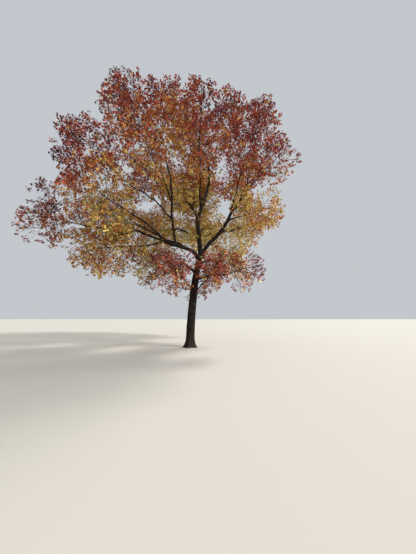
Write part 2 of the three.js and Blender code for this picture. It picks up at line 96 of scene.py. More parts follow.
# The masses of foliage, as in the source: name; bearing in degrees, distance out, height and radius of its
# ball; its bough's parent, the share of the parent's length where it springs, and its radius there; and how
# far its twigs bend up. A mass at 1 has no bough: it grows from its parent's tip.
Mass = namedtuple("Mass", "name bearing out height radius parent at girth lift")
MASSES = [Mass(*row) for row in [
    ("low_left", 230, 1.2, 4.15, 1.3, "trunk", 0.57, 0.055, -0.3),
    ("low_right", 328, 1.5, 4.2, 1.25, "trunk", 0.51, 0.05, -0.25),
    ("low_far_right", 344, 2.95, 4.1, 1.2, "trunk", 0.68, 0.065, -0.1),
    ("low_back_left", 133, 3.8, 5.6, 2.15, "trunk", 0.77, 0.08, -0.1),
    ("low_back_right", 50, 3.7, 5.6, 2.0, "trunk", 0.84, 0.08, -0.1),
    ("left_low", 191, 4.65, 5.4, 1.9, "left_limb", 0.7, 0.065, -0.15),
    ("left_far", 190, 6.75, 6.75, 2.35, "left_limb", 0.96, 0.075, 0),
    ("left_front", 217, 4.9, 7.3, 1.9, "left_limb", 0.98, 0.065, 0),
    ("left_back", 161, 6.1, 8.6, 2.2, "left_limb", 0.55, 0.08, 0.1),
    ("back_left", 129, 5.0, 8.6, 2.5, "leader_lower", 0.22, 0.085, 0.05),
    ("back", 84, 4.7, 8.6, 2.5, "leader_lower", 0.34, 0.085, 0.05),
    ("back_right", 36, 4.9, 8.4, 2.3, "right_limb", 0.5, 0.075, 0.05),
    ("right_low", 350, 3.8, 7.6, 1.55, "right_limb", 0.82, 0.06, 0),
    ("left_upper", 202, 5.5, 10.2, 2.0, "left_riser", 0.28, 0.05, 0.1),
    ("front_left", 241, 4.2, 9.8, 2.1, "left_riser", 0.45, 0.045, 0.15),
    ("front", 280, 3.6, 9.8, 2.05, "leader_lower", 0.78, 0.06, 0.2),
    ("front_right", 317, 4.1, 10.0, 1.85, "right_limb", 0.93, 0.055, 0.15),
    ("right_upper", 351, 4.7, 10.6, 1.7, "right_riser", 0.99, 0.058, 0.1),
    ("right_back_upper", 36, 4.1, 11.3, 2.4, "right_riser", 0.6, 0.055, 0.15),
    ("back_upper", 93, 3.3, 11.9, 2.6, "leader_lower", 0.9, 0.065, 0.2),
    ("back_left_upper", 145, 4.1, 12.0, 2.5, "leader_lower", 0.58, 0.07, 0.15),
    ("inner_left", 100, 1.3, 10.5, 2.5, "leader_lower", 0.5, 0.05, 0.1),
    ("top_left", 201, 3.8, 13.5, 2.0, "left_riser", 0.99, 0.04, 0.25),
    ("top_front", 240, 2.1, 12.7, 2.0, "leader_upper", 0.55, 0.05, 0.3),
    ("top", 110, 0.9, 13.75, 2.1, "leader_upper", 1, 0, 0.3),
    ("top_right", 322, 2.3, 12.8, 1.7, "leader_upper", 0.75, 0.048, 0.3),
    ("top_far_right", 350, 4.1, 13.4, 1.55, "right_riser", 0.8, 0.045, 0.25),
]]
ENTRY = 0.5  # how far from its centre, in radii, a bough enters a mass
RISE = 0.35  # how strongly a bough climbs and follows its parent as it leaves it

MASS_NAMES = [mass.name for mass in MASSES]
FOLIAGE_NODES = ["foliage_" + name for name in MASS_NAMES]
NO_MASS = -1  # in place of a mass's number, for a twig between the masses
_, bearings, outs, heights, RADII, *_, LIFTS = map(np.array, zip(*MASSES))
bearings = np.radians(bearings)
CENTRES = np.stack([outs * np.cos(bearings), outs * np.sin(bearings), heights], 1)

# The rounded form that the crown nearly fills
CROWN_CENTRE = np.array([-1.4, 0.8, 8.8])
CROWN_RADII = np.array([7.8, 6.7, 7.1])

OPEN_REACH = 0.75  # of a twig that grows where no mass is
LEAST_LENGTH = 1e-9  # of a vector that can be made a unit vector
UPRIGHT = 1e-4  # a direction whose level part's square is under this counts as upright
CLOSING = 1e-6  # least closeness, and least distance between balls, that count
CELL_BITS = 0xFFFF  # of a cell's place, that its value depends on
AXIS_SHIFT = 13.1  # keeps the noises of x, y and z apart

# What the numbers drawn from a seed are for. Those for pairs count on from the one here.
USE = SimpleNamespace(
    turn=1, reach=2, tone=3, kept=4, waver=10, twig=20, side_twig=50, crook=61, limb=71, low_twig=72,
    stem_twig=80, shoot_leaf=100, last_shoot_leaf=110, twig_leaf=120, end_leaf=130, main_leaf=140,
)
LIMB_USE = SimpleNamespace(angle=4, length=5, bare_length=6, bare=7, bare_kept=8, seed=100)
LEAF_USE = SimpleNamespace(angle=1, size=2, stalk=3, droop=4, roll=5, curl=6, width=7, tint=8)


def scramble(seed, use):
    """A new seed from a seed and a use, by the source's rule in 32 bits."""
    low = np.uint64(0xFFFFFFFF)
    spread = (np.asarray(use, np.uint64) + np.uint64(1)) * np.uint64(0x9E3779B1) & low
    h = np.asarray(seed, np.uint64) ^ spread
    h = (h ^ (h >> np.uint64(16))) * np.uint64(0x7FEB352D) & low
    h = (h ^ (h >> np.uint64(15))) * np.uint64(0x846CA68B) & low
    return h ^ (h >> np.uint64(16))


def chance(seed, use):
    """A number from 0 to 1 for a seed and a use."""
    return scramble(seed, use) / 2.0**32


def between(pair, share):
    return pair[0] + (pair[1] - pair[0]) * share


def drawn(pair, seed, use):
    """A number from a range for a seed and a use."""
    return between(pair, chance(seed, use))


def eased(share):
    """A share from 0 to 1, made slower near both."""
    return share * share * (3 - 2 * share)


def smoothstep(start, full, value):
    """0 up to the start of a range and 1 where it is full, which may be the lower end."""
    return eased(np.clip((value - start) / (full - start), 0, 1))


def within(ranges, measures, amount=1.0):
    """The amount, and less towards 0 where places aren't fully inside the ranges."""
    shares = (smoothstep(start, full, measures[key]) for key, start, full in ranges)
    return math.prod(shares, start=amount)


def length_of(v):
    return np.sqrt((v * v).sum(-1))


def unit(v):
    return v / np.maximum(length_of(v), LEAST_LENGTH)[..., None]


def side_of(direction):
    """A level unit vector at right angles to each direction."""
    side = np.cross(direction, UP)
    side[(side * side).sum(-1) <= UPRIGHT] = [1.0, 0.0, 0.0]
    return unit(side)


def rotated(side, axis, angle):
    """side turned about axis, which is at right angles to it."""
    return side * np.cos(angle)[..., None] + np.cross(axis, side) * np.sin(angle)[..., None]


def reach_in(mass, point, direction):
    """How far it is from each point, in its direction, to the side of its mass's own space."""
    centre, radius = CENTRES[mass], RADII[mass]
    away = point - centre
    along = (away * direction).sum(-1)
    own = (away * away).sum(-1) - radius**2
    reach = -along + np.sqrt(np.maximum(0, along**2 - own))
    for other in range(len(MASSES)):
        across = CENTRES[other] - centre
        apart = np.maximum(length_of(across), CLOSING)
        closing = (direction * across).sum(-1) / apart
        theirs = ((point - CENTRES[other]) ** 2).sum(-1) - RADII[other] ** 2
        room = (theirs - own) / (2 * apart)
        facing = (closing > CLOSING) & (mass != other)
        reach = np.where(facing, np.minimum(reach, room / np.where(facing, closing, 1)), reach)
    return np.where(mass == NO_MASS, OPEN_REACH, np.maximum(0, reach))


def home_of(points):
    """The mass whose own space each point is in, and how deep it is in that mass's ball."""
    power = ((points[:, None] - CENTRES) ** 2).sum(-1) - RADII**2
    mass = power.argmin(1)
    return mass, RADII[mass] - length_of(points - CENTRES[mass])


def noise(points, seed):
    """Smooth random values from -1 to 1 over space, one unit from lump to lump."""
    cell = np.floor(points).astype(np.int64)
    part = eased(points - cell)
    total = np.zeros(points.shape[:-1])
    for corner in np.ndindex(2, 2, 2):
        x, y, z = np.moveaxis((cell + corner) & CELL_BITS, -1, 0)
        value = chance(scramble(scramble(seed, x), y), z) * 2 - 1
        weight = np.prod(np.where(corner, part, 1 - part), axis=-1)
        total += value * weight
    return total


def noise_vectors(points, seed):
    """Smooth random vectors over space."""
    return np.stack([noise(points + AXIS_SHIFT * k, seed + k) for k in range(3)], -1)


# Curves and limbs
TANGENT_STEP = 2e-3  # to each side of a point, as a share of the curve's length
STRETCH_STEPS = 60  # between two of the points that a limb passes
BEZIER_POINTS = 80
WAVER_POINTS = 160  # along a limb
WAVER_POWER = 0.6  # below 1, a limb wavers close to its ends too
WIDE_BENDS = 0.8  # to the metre
FINE_BENDS = 2.6
FINE_SIZE = 0.35  # of the wide bends
MAIN_WAVER = 0.06
BOUGH_WAVER = 0.05  # of the bough's length
MAIN_SEED = 300
BOUGH_SEED = 400
SEED_STEP = 10  # from one limb to the next


class Curve:
    """A line through many points, read by the share of its length."""

    def __init__(self, points):
        self.points = points
        steps = length_of(np.diff(points, axis=0))
        self.length = steps.sum()
        self.shares = np.concatenate([[0], np.cumsum(steps)]) / self.length

    def at(self, share):
        share = np.clip(share, 0, 1)
        return np.stack([np.interp(share, self.shares, column) for column in self.points.T], -1)

    def tangent(self, share):
        share = np.asarray(share, float)
        return unit(self.at(share + TANGENT_STEP) - self.at(share - TANGENT_STEP))

    def share_at_height(self, height):
        """Where a curve that only rises is at a height."""
        return np.interp(height, self.points[:, 2], self.shares)


def smooth_curve(line):
    """The centripetal Catmull-Rom curve through a line's points, as three.js makes it."""
    line = np.array(line, float)
    line = np.vstack([2 * line[0] - line[1], line, 2 * line[-1] - line[-2]])
    t = np.linspace(0, 1, STRETCH_STEPS, endpoint=False)[:, None]
    stretches = []
    for a, b, c, d in zip(line, line[1:], line[2:], line[3:]):
        before, here, after = (math.sqrt(length_of(q - p)) for p, q in ((a, b), (b, c), (c, d)))
        leaving = ((b - a) / before - (c - a) / (before + here) + (c - b) / here) * here
        arriving = ((c - b) / here - (d - b) / (here + after) + (d - c) / after) * here
        squared = 3 * (c - b) - 2 * leaving - arriving
        cubed = 2 * (b - c) + leaving + arriving
        stretches.append(b + leaving * t + squared * t**2 + cubed * t**3)
    return Curve(np.vstack([*stretches, line[-2][None]]))


def bezier_curve(a, b, c, d):
    t = np.linspace(0, 1, BEZIER_POINTS)[:, None]
    return Curve((1 - t) ** 3 * a + 3 * (1 - t) ** 2 * t * b + 3 * (1 - t) * t**2 * c + t**3 * d)


class Limb:
    """A limb. Its plan is the source's curve, and its own curve wavers about that."""

    def __init__(self, plan, radii, parent=None, at=0.0, seed=0, waver=0.0):
        self.plan, self.radii, self.parent, self.at = plan, radii, parent, at
        share = np.linspace(0, 1, WAVER_POINTS)
        place = plan.at(share)
        held = (np.sin(math.pi * share) ** WAVER_POWER)[:, None]
        wide = noise_vectors(place * WIDE_BENDS, seed)
        fine = noise_vectors(place * FINE_BENDS, seed + 5)
        self.curve = Curve(place + waver * held * (wide + FINE_SIZE * fine))

    def radius(self, share):
        return trunk_radius(share) if self.radii is None else between(self.radii, share)


def trunk_radius(share):
    """The trunk's radius without its flare."""
    return between([TRUNK_RADIUS, FORK_RADIUS], np.asarray(share) ** TAPER_POWER)


def make_bough(index, stock):
    """A mass's bough, which climbs out of its parent and bends over into the ball."""
    mass, centre = MASSES[index], CENTRES[index]
    start = stock.plan.at(mass.at)
    heading = unit(centre - start)
    leaving = unit(heading + RISE * UP + RISE * stock.plan.tangent(mass.at))
    tip = centre - ENTRY * mass.radius * heading
    third = length_of(tip - start) / 3
    plan = bezier_curve(start, start + leaving * third, tip - heading * third, tip)
    radii = [mass.girth, mass.girth * BOUGH_TAPER]
    waver = BOUGH_WAVER * length_of(tip - start)
    return Limb(plan, radii, mass.parent, mass.at, BOUGH_SEED + SEED_STEP * index, waver)


limbs = {"trunk": Limb(smooth_curve(TRUNK_LINE), None)}
for name, parent, at, line, radii in MAIN_LIMBS:
    plan = smooth_curve([limbs[parent].plan.at(at), *line])
    limbs[name] = Limb(plan, radii, parent, at, MAIN_SEED + len(limbs), MAIN_WAVER)
for index, mass in enumerate(MASSES):
    if mass.at < 1:
        limbs["bough_" + mass.name] = make_bough(index, limbs[mass.parent])
BOUGH_NAMES = [name for name in limbs if name.startswith("bough_")]


# Meshes
def placed(name, data):
    """A new object in the scene."""
    thing = bpy.data.objects.new(name, data)
    bpy.context.scene.collection.objects.link(thing)
    return thing


def add_piece(name, replaced, material, slot, vertices, faces, relief=None):
    """One joined mesh of triangles, which rides on the tree and replaces CAD nodes."""
    mesh = bpy.data.meshes.new(name)
    mesh.vertices.add(len(vertices))
    mesh.vertices.foreach_set("co", np.ascontiguousarray(vertices, np.float32).ravel())
    mesh.loops.add(faces.size)
    mesh.loops.foreach_set("vertex_index", np.ascontiguousarray(faces, np.int32).ravel())
    mesh.polygons.add(len(faces))
    mesh.polygons.foreach_set("loop_start", np.arange(0, faces.size, 3, dtype=np.int32))
    mesh.update(calc_edges=True)
    mesh.polygons.foreach_set("use_smooth", np.ones(len(faces), bool))
    if relief is not None:
        mesh.attributes.new("relief", "FLOAT", "POINT").data.foreach_set("value", relief.astype(np.float32))
    mesh.materials.append(material)
    piece = placed(name, mesh)
    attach(piece, BODY)
    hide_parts(*replaced)


def joined(parts):
    """Several meshes as one, with their vertices' values if they have any."""
    vertices, faces, *values = zip(*parts)
    firsts = np.cumsum([0] + [len(part) for part in vertices[:-1]])
    faces = [part + first for part, first in zip(faces, firsts)]
    return [np.concatenate(column) for column in (vertices, faces, *values)]


def copies(vertices, faces):
    """One mesh of many small ones with the same triangles, from each one's vertices."""
    firsts = np.arange(len(vertices))[:, None, None] * vertices.shape[1]
    return vertices.reshape(-1, 3), (faces + firsts).reshape(-1, 3)


def tube_faces(rings, sides):
    """The triangles of a closed tube, whose last two vertices are the middles of its ends."""
    ring = np.arange(rings - 1)[:, None] * sides
    side = np.arange(sides)
    after = (side + 1) % sides
    a, b = ring + side, ring + after
    end, first, last = (rings - 1) * sides, rings * sides, rings * sides + 1
    kinds = [(a, b, b + sides), (a, b + sides, a + sides)]
    kinds += [(after, side, first), (end + side, end + after, last)]
    return np.concatenate([np.stack(np.broadcast_arrays(*kind), -1).reshape(-1, 3) for kind in kinds])


def angles_round(sides):
    return np.arange(sides) * 2 * math.pi / sides


def rings_round(across, over, angles):
    """Unit vectors at angles round many points, from two vectors across the tube there."""
    return across[..., None, :] * np.cos(angles)[:, None] + over[..., None, :] * np.sin(angles)[:, None]


def frames_along(tangents):
    """Two vectors across each tangent that don't twist from one to the next."""
    across = np.empty_like(tangents)
    last = side_of(tangents[:1])[0]
    for i, tangent in enumerate(tangents):
        last = last - tangent * (last @ tangent)
        last = last / math.sqrt(last @ last)
        across[i] = last
    return across, np.cross(tangents, across)


# Bark, as relief on the trunk and the limbs. Furrows stray and slant in radians of their own pattern.
FURROW_BENDS = [5.0, 5.0, 1.6]  # to the metre, fewest up and down
FINER = 2.7  # fine bends for each wide one
WANDER = [1.1, 0.5]  # how far furrows stray, in wide bends and in fine ones
SECOND_SHIFT = 31.7  # keeps the two sets of furrows apart
RIDGE_AT = 0.45  # of the way out of a furrow, where the ridge has its whole height
RIDGE_POWER = 0.8
END_RELIEF = 0.5  # at the middle of a tube's ends
LEAST_TIP = 0.02  # of the squared radius, that is left at a round tip
COLLAR_MOST = 0.55  # how much thicker a limb is where it springs from its parent
COLLAR_FIT = 0.92  # of the parent's radius, at most
COLLAR_LENGTH = 1.3  # in radii, over which most of the collar is gone
CROWDING = 1.15  # draws the trunk's rings together towards the foot
LEVEL_BELOW = 0.8  # under this height they turn level
FLUTE_DEPTH = 0.035  # of the radius: the buttresses run on up the trunk as low flutes
FLUTE_HEIGHT = 0.75  # over which most of a flute is gone

# A kind of bark. A tube has at least so many rings, and at most one step between them. The furrows' slant is
# to the metre, the wood's lumps are a share of the radius and how many to the metre, and their seed counts
# from the bark's. A round tip reaches back by a number of radii.
Bark = namedtuple("Bark", "seed rings step sides furrows depth slant lumps lumps_seed tip")
LIMB_LUMPS = [(0.07, 4.0), (0.04, 11.0)]
TRUNK_BARK = Bark(501, 200, None, 128, 24, 0.017, 7.0, [(0.035, [2.2, 2.2, 1.1]), (0.02, 6.0)], 10, tip=0.95)
MAIN_BARK = Bark(600, 40, 0.035, 40, 12, 0.007, 9.0, LIMB_LUMPS, 7, tip=0.9)
BOUGH_BARK = Bark(700, 24, 0.09, 16, 7, 0.003, 9.0, LIMB_LUMPS, 7, tip=None)


def lumps(place, kinds, seed):
    """Smooth lumps of several sizes, added up."""
    return sum(size * noise(place * often, seed + k) for k, (size, often) in enumerate(kinds))


def furrows(angle, height, place, kind, seed):
    """Bark between 0, in a furrow, and 1, on a ridge: long plates whose furrows part and meet again."""
    wide = place * FURROW_BENDS
    fine = wide * FINER
    first = WANDER[0] * noise(wide, seed) + WANDER[1] * noise(fine, seed + 1)
    second = WANDER[0] * noise(wide + SECOND_SHIFT, seed + 2) + WANDER[1] * noise(fine, seed + 3)
    rising = np.abs(np.sin(kind.furrows / 2 * angle + kind.slant * height + first))
    falling = np.abs(np.sin(kind.furrows / 2 * angle - kind.slant * height + second))
    return np.clip(np.minimum(rising, falling) / RIDGE_AT, 0, 1) ** RIDGE_POWER


def rounding(distance, reach):
    """The share of its radius that a tube has at a distance from its round tip."""
    left = np.minimum(1, np.maximum(0, distance) / reach)
    return np.sqrt(np.clip(1 - (1 - left) ** 2, LEAST_TIP, 1))[:, None]


def bark_tube(centres, ring, plain, angle, height, tip, kind, seed):
    """A closed tube with bark's relief: its vertices, its triangles, and the relief at each vertex."""
    place = centres[:, None] + ring * plain[..., None]
    relief = furrows(angle, height, place, kind, seed)
    radius = plain * (1 + lumps(place, kind.lumps, seed + kind.lumps_seed)) + kind.depth * (relief - 1)
    skin = centres[:, None] + ring * (radius * tip)[..., None]
    vertices = np.concatenate([skin.reshape(-1, 3), centres[[0, -1]]])
    return vertices, tube_faces(*relief.shape), np.concatenate([relief.ravel(), [END_RELIEF, END_RELIEF]])


def limb_mesh(limb, kind, seed):
    """A limb's tube, thicker where it springs from its parent."""
    curve, length = limb.curve, limb.curve.length
    shares = np.linspace(0, 1, max(kind.rings, int(length / kind.step)))
    along = shares * length
    angles = angles_round(kind.sides)
    ring = rings_round(*frames_along(curve.tangent(shares)), angles)
    parent_radius = limbs[limb.parent].radius(limb.at)
    collar = min(COLLAR_MOST, COLLAR_FIT * parent_radius / limb.radii[0] - 1)
    beyond = np.maximum(0, along - parent_radius) / (COLLAR_LENGTH * limb.radii[0])
    plain = limb.radius(shares) * (1 + max(0, collar) * np.exp(-beyond))
    tip = rounding((1 - shares) * length, kind.tip * limb.radii[1]) if kind.tip else 1
    return bark_tube(curve.at(shares), ring, plain[:, None], angles, along[:, None], tip, kind, seed)


def trunk_mesh(kind):
    """The trunk's tube, from the flat cut at the ground to the fork."""
    curve = limbs["trunk"].curve
    ground = curve.share_at_height(0.0)
    shares = ground + (1 - ground) * np.linspace(0, 1, kind.rings) ** CROWDING
    centres = curve.at(shares)
    height = centres[:, 2:]
    tilt = np.clip(height / LEVEL_BELOW, 0, 1)
    tangents = unit(UP * (1 - tilt) + curve.tangent(shares) * tilt)
    ring = rings_round(*frames_along(tangents), angles_round(kind.sides))
    bearing = np.arctan2(ring[..., 1], ring[..., 0])
    flared, fluted = (np.exp(-np.maximum(0, height) / reach) for reach in (FLARE_HEIGHT, FLUTE_HEIGHT))
    roots = -np.cos(BUTTRESSES * bearing)
    plain = trunk_radius(shares)[:, None] + FLARE * flared
    plain = plain * (1 + BUTTRESS_DEPTH * flared * roots + FLUTE_DEPTH * fluted * roots)
    tip = rounding((1 - shares) * curve.length, kind.tip * FORK_RADIUS)
    vertices, faces, relief = bark_tube(centres, ring, plain, bearing, height, tip, kind, kind.seed)
    vertices[: kind.sides, 2] = 0
    vertices[-2, 2] = 0
    return vertices, faces, relief


# Materials
def linear(colour):
    """A colour such as "#a05a2c" as linear numbers."""
    parts = [int(colour[i : i + 2], 16) / 255 for i in (1, 3, 5)]
    return (*[p / 12.92 if p <= 0.04045 else ((p + 0.055) / 1.055) ** 2.4 for p in parts], 1)


class NodeMaterial:
    """A material under construction, with the few kinds of node that bark needs."""

    def __init__(self, name, roughness, specular):
        self.material = bpy.data.materials.new(name)
        self.material.use_nodes = True
        self.tree = self.material.node_tree
        self.shader = self.tree.nodes["Principled BSDF"]
        self.fill(self.shader, {"Roughness": roughness, "Specular IOR Level": specular})

    def fill(self, node, inputs):
        """Gives values to inputs of a node, or links other nodes' outputs to them."""
        for name, value in inputs.items():
            if isinstance(value, bpy.types.NodeSocket):
                self.tree.links.new(value, node.inputs[name])
            else:
                node.inputs[name].default_value = value

    def add(self, kind, inputs):
        node = self.tree.nodes.new("ShaderNode" + kind)
        self.fill(node, inputs)
        return node

    def noise_at(self, stretch, size, detail):
        place = self.add("TexCoord", {}).outputs["Object"]
        place = self.add("Mapping", {"Scale": stretch, "Vector": place}).outputs["Vector"]
        return self.add("TexNoise", {"Scale": size, "Detail": detail, "Vector": place}).outputs["Fac"]

    def relief(self):
        node = self.add("Attribute", {})
        node.attribute_name = "relief"
        return node.outputs["Fac"]

    def ramp(self, value, *stops):
        node = self.add("ValToRGB", {"Fac": value})
        for element, (position, colour) in zip(node.color_ramp.elements, (stops[0], stops[-1])):
            element.position, element.color = position, linear(colour)
        for position, colour in stops[1:-1]:
            node.color_ramp.elements.new(position).color = linear(colour)
        return node.outputs["Color"]

    def mixed(self, kind, amount, a, b):
        node = self.add("Mix", {})
        node.data_type = "RGBA"
        node.blend_type = kind
        self.fill(node, {"Factor": amount, "A": a, "B": b})
        return node.outputs["Result"]

    def colour(self, value):
        self.fill(self.shader, {"Base Color": value})

    def grain(self, height, strength, distance):
        bump = self.add("Bump", {"Strength": strength, "Distance": distance, "Height": height})
        self.fill(self.shader, {"Normal": bump.outputs["Normal"]})


def plain_material(name, colour, roughness):
    made = NodeMaterial(name, roughness, specular=0.3)
    made.colour(linear(colour))
    return made.material


def limb_bark_material():
    """Dark grey-brown ridges with darker furrows, a little grey-green lichen, and fine grain."""
    made = NodeMaterial("maple_bark", roughness=0.92, specular=0.2)
    blotches = made.noise_at(stretch=(1, 1, 0.3), size=9.0, detail=5.0)
    ridges = made.ramp(blotches, (0.3, "#191310"), (0.52, "#281f1a"), (0.72, "#3b3028"))
    patches = made.noise_at(stretch=(1, 1, 0.8), size=3.1, detail=6.0)
    lichen = made.ramp(patches, (0.56, "#000000"), (0.66, "#3d3f3a"))
    furrow = made.ramp(made.relief(), (0.05, "#4a4440"), (0.75, "#ffffff"))
    overgrown = made.mixed("LIGHTEN", 0.55, ridges, lichen)
    made.colour(made.mixed("MULTIPLY", 0.85, overgrown, furrow))
    made.grain(made.noise_at(stretch=(1, 1, 0.25), size=42.0, detail=8.0), strength=0.55, distance=0.012)
    return made.material


def twig_bark_material():
    """Smoother and browner than the limbs' bark, and mottled."""
    made = NodeMaterial("maple_twig_bark", roughness=0.82, specular=0.3)
    mottle = made.noise_at(stretch=(1, 1, 1), size=5.0, detail=4.0)
    made.colour(made.ramp(mottle, (0.35, "#231813"), (0.52, "#2f221c"), (0.68, "#44352b")))
    return made.material


bark = limb_bark_material()
twig_bark = twig_bark_material()


# The trunk, the main limbs and the boughs
def limbs_mesh(names, kind):
    return joined([limb_mesh(limbs[name], kind, kind.seed + SEED_STEP * i) for i, name in enumerate(names)])


add_piece("trunk_bark", ["trunk"], bark, "bark", *trunk_mesh(TRUNK_BARK))
add_piece("limb_bark", MAIN_NAMES, bark, "bark", *limbs_mesh(MAIN_NAMES, MAIN_BARK))
add_piece("bough_bark", BOUGH_NAMES, bark, "bark", *limbs_mesh(BOUGH_NAMES, BOUGH_BARK))

# Twigs. Growth is how a kind of twig grows in pairs on its parent: in a zone of its length, at angles in
# degrees from the zone's start to its end. Reach is of the way to the side of the mass. Radii and longest
# are shares of the parent's radius and length. Pull draws twigs up and out at the crown's outside.
Growth = namedtuple(
    "Growth", "zone angles lengths radii first_use reach pull step longest shorter", defaults=[None] * 3
)
FINE_REACH = [0.8, 1.0]
TWIG = Growth([0.07, 0.62], [78, 40], [0.75, 2.3], [0.6, 0.42], USE.twig, [0.84, 0.97], pull=0.0)
SIDE_TWIG = Growth([0.14, 0.95], [66, 42], [0.22, 0.95], [0.5, 0.25], USE.side_twig, FINE_REACH, pull=0.5,
                   step=0.2, longest=0.62, shorter=0.6)
STEM_TWIG = Growth([0.68, 0.97], [55, 38], [0.22, 0.8], [0.45, 0.22], USE.stem_twig, FINE_REACH, pull=0.2,
                   step=0.2, longest=0.4, shorter=0.3)
SHOOT = Growth([0.2, 0.93], [60, 40], [0.09, 0.3], [0.5, 0.3], USE.side_twig, FINE_REACH, pull=0.4,
               step=0.13, longest=0.52, shorter=0.45)
TWIG_PAIRS = 4
FINE_PAIRS = [2, 9]  # the fewest and the most on one parent
STEM_SHARE = 0.97  # of the way to the far side of the mass
STEM_TAPER = 0.5
TURN_WAVER = 0.14  # how far a pair strays from being crossways to the last, in half turns
PULL_ZONE = [0.45, 0.95]  # of the way out in the crown, over which the pull sets in
PULL_UP = 0.7
PULL_OUT = 0.5
CROOK_SIZES = [0.055, 0.035]  # of the twig's length: one bend to a side, and one to both
CROOK_RANGE = [0.3, 1.0]  # of that size, the least and the most


class Twigs(namedtuple("Twigs", "start direction length lift radii seed mass tone")):
    """Many twigs at once, a row to each: a straight start that bends up or down by its lift."""

    def kept(self, rows):
        return Twigs(*(column[rows] for column in self))

    def all_at(self, shares):
        """The same shares, or the one share, for every twig."""
        return np.broadcast_to(shares, (len(self.start), np.size(shares)))

    def crooks(self):
        """Two bends across each twig, one to a side and one to both."""
        side = side_of(self.direction)
        over = np.cross(self.direction, side)
        bends = []
        for number, size in enumerate(CROOK_SIZES):
            use = USE.crook + 2 * number
            turn = 2 * math.pi * chance(self.seed, use)[:, None]
            amount = (size * self.length * drawn(CROOK_RANGE, self.seed, use + 1))[:, None]
            bends.append((amount * (side * np.cos(turn) + over * np.sin(turn)))[:, None])
        return bends

    def at(self, share):
        """Where each twig is at each of its shares."""
        t = share[..., None]
        bend = UP * (self.lift * self.length / 4)[:, None]
        run = self.direction * self.length[:, None]
        once, twice = self.crooks()
        waver = once * np.sin(math.pi * t) + twice * np.sin(2 * math.pi * t)
        return self.start[:, None] + run[:, None] * t + bend[:, None] * t**2 + waver

    def tangent(self, share):
        t = share[..., None]
        bend = UP * (self.lift / 2)[:, None]
        once, twice = (crook / self.length[:, None, None] for crook in self.crooks())
        waver = math.pi * once * np.cos(math.pi * t) + 2 * math.pi * twice * np.cos(2 * math.pi * t)
        return unit(self.direction[:, None] + bend[:, None] * t + waver)

    def place_and_tangent(self, share):
        """Where each twig is at one share, and which way it points there."""
        share = self.all_at(share)
        return self.at(share)[:, 0], self.tangent(share)[:, 0]

    def radius(self, share):
        return self.radii[:, :1] + (self.radii[:, 1:] - self.radii[:, :1]) * share


def together(groups):
    return Twigs(*(np.concatenate(column) for column in zip(*groups)))


def flat(array):
    """An array by parent and pair as one by twig."""
    return array.reshape(-1, *array.shape[2:])


def side_twigs(parents, shares, angles, most, growth):
    """Opposite pairs of twigs, each crossways to the last, at the same shares of every parent."""
    pairs = len(shares)
    share = parents.all_at(shares)
    step = np.arange(pairs)
    along = parents.tangent(share)
    seed = parents.seed[:, None]
    waver = TURN_WAVER * (chance(seed, USE.waver + step) - 0.5)
    turn = (chance(seed, USE.turn) + step / 2 + waver) * math.pi
    out = rotated(side_of(along), along, turn)
    angle = np.radians(angles)[None, :, None]
    start = flat(parents.at(share))
    outward = (start - CROWN_CENTRE) / CROWN_RADII
    pulled = growth.pull * smoothstep(*PULL_ZONE, length_of(outward))[:, None]
    radii = flat(parents.radius(share))[:, None] * np.array(growth.radii)
    most = flat(np.broadcast_to(most, share.shape))
    mass, lift, tone = (np.repeat(column, pairs) for column in (parents.mass, parents.lift, parents.tone))
    groups = []
    for way in (1, -1):
        own = flat(scramble(seed, growth.first_use + 2 * step + (way > 0)))
        direction = flat(along * np.cos(angle) + way * out * np.sin(angle))
        direction = unit(direction + pulled * (PULL_UP * UP + PULL_OUT * unit(outward)))
        reach = reach_in(mass, start, direction) * drawn(growth.reach, own, USE.reach)
        length = np.minimum(most, reach)
        grown = Twigs(start, direction, length, lift, radii, own, mass, tone)
        groups.append(grown.kept(length >= growth.lengths[0]))
    return together(groups)


def grown_on(parents, growth):
    """Side twigs on parents of any length, in as many pairs as fit."""
    counts = np.round(parents.length * (growth.zone[1] - growth.zone[0]) / growth.step).astype(int)
    counts = np.clip(counts, *FINE_PAIRS)
    groups = []
    for count in np.unique(counts):
        rows = parents.kept(counts == count)
        shares = np.linspace(*growth.zone, count)
        angles = np.linspace(*growth.angles, count)
        most = growth.longest * rows.length[:, None] * (1 - growth.shorter * shares)
        groups.append(side_twigs(rows, shares, angles, np.clip(most, *growth.lengths), growth))
    return together(groups)


def make_stems():
    """The stem of each mass, from the tip of its bough or of its parent, as in the source."""
    carriers = [limbs["bough_" + mass.name] if mass.at < 1 else limbs[mass.parent] for mass in MASSES]
    foot = np.array([limb.plan.at(1.0) for limb in carriers])
    heading = np.array([limb.plan.tangent(1.0) for limb in carriers])
    girth = np.array([limb.radii[1] for limb in carriers])
    number = np.arange(len(MASSES))
    length = STEM_SHARE * reach_in(number, foot, heading)
    radii = girth[:, None] * np.array([1.0, STEM_TAPER])
    none = np.zeros(len(MASSES))
    return Twigs(foot, heading, length, none, radii, scramble(number, 0), number, none)


def make_main_twigs(stems):
    """The twigs on each stem, as in the source."""
    steps = np.arange(TWIG_PAIRS) / (TWIG_PAIRS - 1)
    twigs = side_twigs(stems, between(TWIG.zone, steps), between(TWIG.angles, steps), TWIG.lengths[1], TWIG)
    return twigs._replace(lift=LIFTS[twigs.mass])


